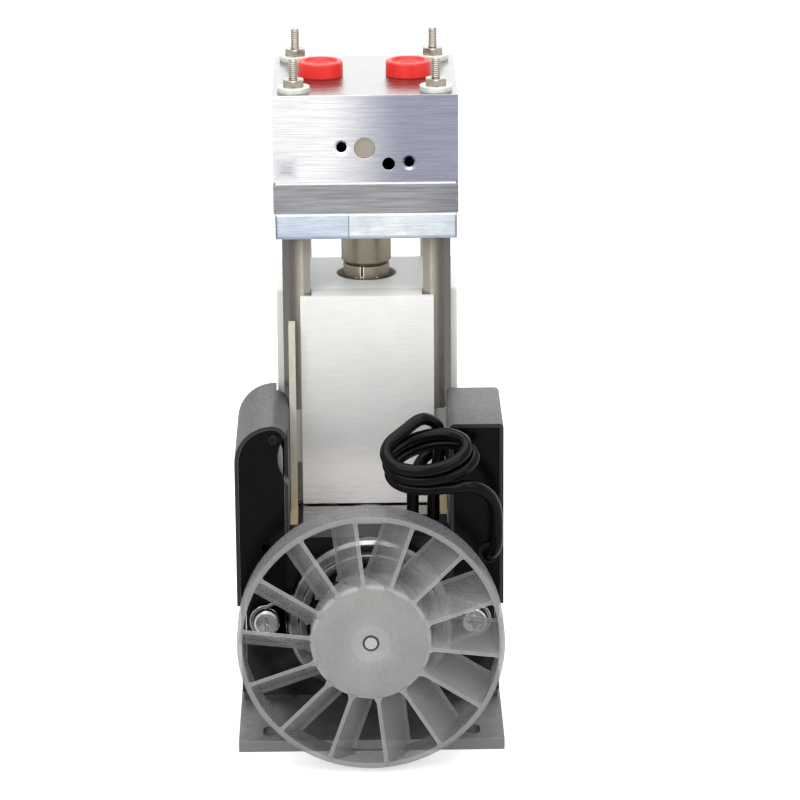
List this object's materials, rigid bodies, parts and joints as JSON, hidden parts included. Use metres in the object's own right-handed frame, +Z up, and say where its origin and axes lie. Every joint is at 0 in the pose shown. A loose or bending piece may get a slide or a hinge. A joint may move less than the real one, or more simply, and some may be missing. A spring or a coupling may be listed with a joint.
{
  "type": "motor driven bellows pump",
  "caption": "Small vacuum and sampling pump: fan-cooled motor on a base plate, off-white crank housing, folded-metal bellows and a square valve head with plugged ports.",
  "frame": {"origin": "centre of the base plate's slot pattern, on its underside", "axes": "+X to the right of the fan side, +Y from the fan to the back, +Z up from the base plate to the valve head"},
  "size_m": [0.105, 0.1454, 0.267],
  "materials": {
    "base_steel": "rough sawn and ground",
    "cast_white": "satin off-white paint",
    "screw_steel": "zinc plated",
    "washer": "dull zinc plated",
    "board": "cream laminate",
    "bright_alloy": "brushed along the plate",
    "dull_alloy": "brushed, darker",
    "gasket": "pale matt sheet",
    "bellows_steel": "bright formed sheet",
    "valve_steel": "lapped",
    "dark_plug": "dull",
    "red_plastic": "soft moulded",
    "grey_sheet": "satin grey",
    "black_plastic": "glossy moulded",
    "capacitor_can": "dull can",
    "block_plastic": "moulded",
    "lamination": "black varnish",
    "winding": "enamelled wire",
    "die_casting": "die cast, turned rings",
    "bearing_steel": "ground",
    "clear_plastic": "translucent, slightly frosted",
    "nickel": "dull nickel",
    "rubber": "matt",
    "lead_cover": "smooth satin sleeve"
  },
  "bodies": {
    "pump": {"base_plate": "base_steel", "drive_housing": "cast_white", "housing_screws": "screw_steel", "rear_cover": "cast_white", "rear_cover_screws": "screw_steel", "front_cover": "cast_white", "front_cover_screws": "screw_steel", "left_insulating_board": "board", "right_insulating_board": "board", "standoffs": "nickel", "clamp_plate_left": "bright_alloy", "clamp_plate_right": "bright_alloy", "lower_gasket": "gasket", "bellows_plate": "dull_alloy", "bellows_flange": "bellows_steel", "bellows": "bellows_steel", "upper_gasket": "gasket", "valve_block": "bright_alloy", "studs": "screw_steel", "stud_nuts": "screw_steel", "stud_washers": "washer", "inlet_valve_retainer": "valve_steel", "outlet_valve_retainer": "valve_steel", "gallery_plug": "dark_plug", "left_side_box": "grey_sheet", "left_front_cap": "black_plastic", "left_rear_cap": "black_plastic", "run_capacitor": "capacitor_can", "right_side_box": "grey_sheet", "right_front_cap": "black_plastic", "right_rear_cap": "black_plastic", "terminal_block": "block_plastic", "cap_screws": "screw_steel", "stator_stack": "lamination", "stator_windings": "winding", "front_bell": "die_casting", "rear_bell": "die_casting", "motor_screws": "screw_steel", "rear_bell_screws": "screw_steel", "motor_bearings": "bearing_steel", "lead_outlet": "rubber", "box_grommets": "rubber", "coiled_lead_rise": "lead_cover", "coiled_lead_loop": "lead_cover", "coiled_lead_tail": "lead_cover", "straight_lead": "lead_cover"},
    "rotor": {"motor_shaft": "bearing_steel", "rotor_core": "lamination", "cooling_fan": "clear_plastic", "eccentric": "bearing_steel", "counterweight": "bearing_steel"},
    "rod": {"connecting_rod": "bright_alloy", "crank_bearing": "bearing_steel", "clamp_collar": "nickel", "collar_screw": "screw_steel", "bellows_cup": "nickel"},
    "inlet_plug": {"inlet_port_plug": "red_plastic"},
    "outlet_plug": {"outlet_port_plug": "red_plastic"},
    "inlet_valve": {"inlet_valve_disc": "valve_steel"},
    "outlet_valve": {"outlet_valve_disc": "valve_steel"}
  },
  "joints": [
    {"name": "shaft_spin", "type": "hinge", "parent": "pump", "child": "rotor", "pos_m": [0, 0, 0.0538], "axis": [0, 1, 0], "continuous": true, "deforming": ["bellows"]},
    {"name": "rod_pivot", "type": "hinge", "parent": "rotor", "child": "rod", "pos_m": [0, 0.0234, 0.05505], "axis": [0, 1, 0], "continuous": true, "deforming": ["bellows"]},
    {"name": "inlet_plug_pull", "type": "slide", "parent": "pump", "child": "inlet_plug", "axis": [0, 0, 1], "range_m": [0, 0.014]},
    {"name": "outlet_plug_pull", "type": "slide", "parent": "pump", "child": "outlet_plug", "axis": [0, 0, 1], "range_m": [0, 0.014]},
    {"name": "inlet_valve_lift", "type": "slide", "parent": "pump", "child": "inlet_valve", "axis": [0, 0, -1], "range_m": [0, 0.0008], "stiffness_N_per_m": 60},
    {"name": "outlet_valve_lift", "type": "slide", "parent": "pump", "child": "outlet_valve", "axis": [0, 0, 1], "range_m": [0, 0.0008]}
  ],
  "couplings": [
    {"joint": "rod_pivot", "follows": "shaft_spin", "ratio": -1}
  ]
}
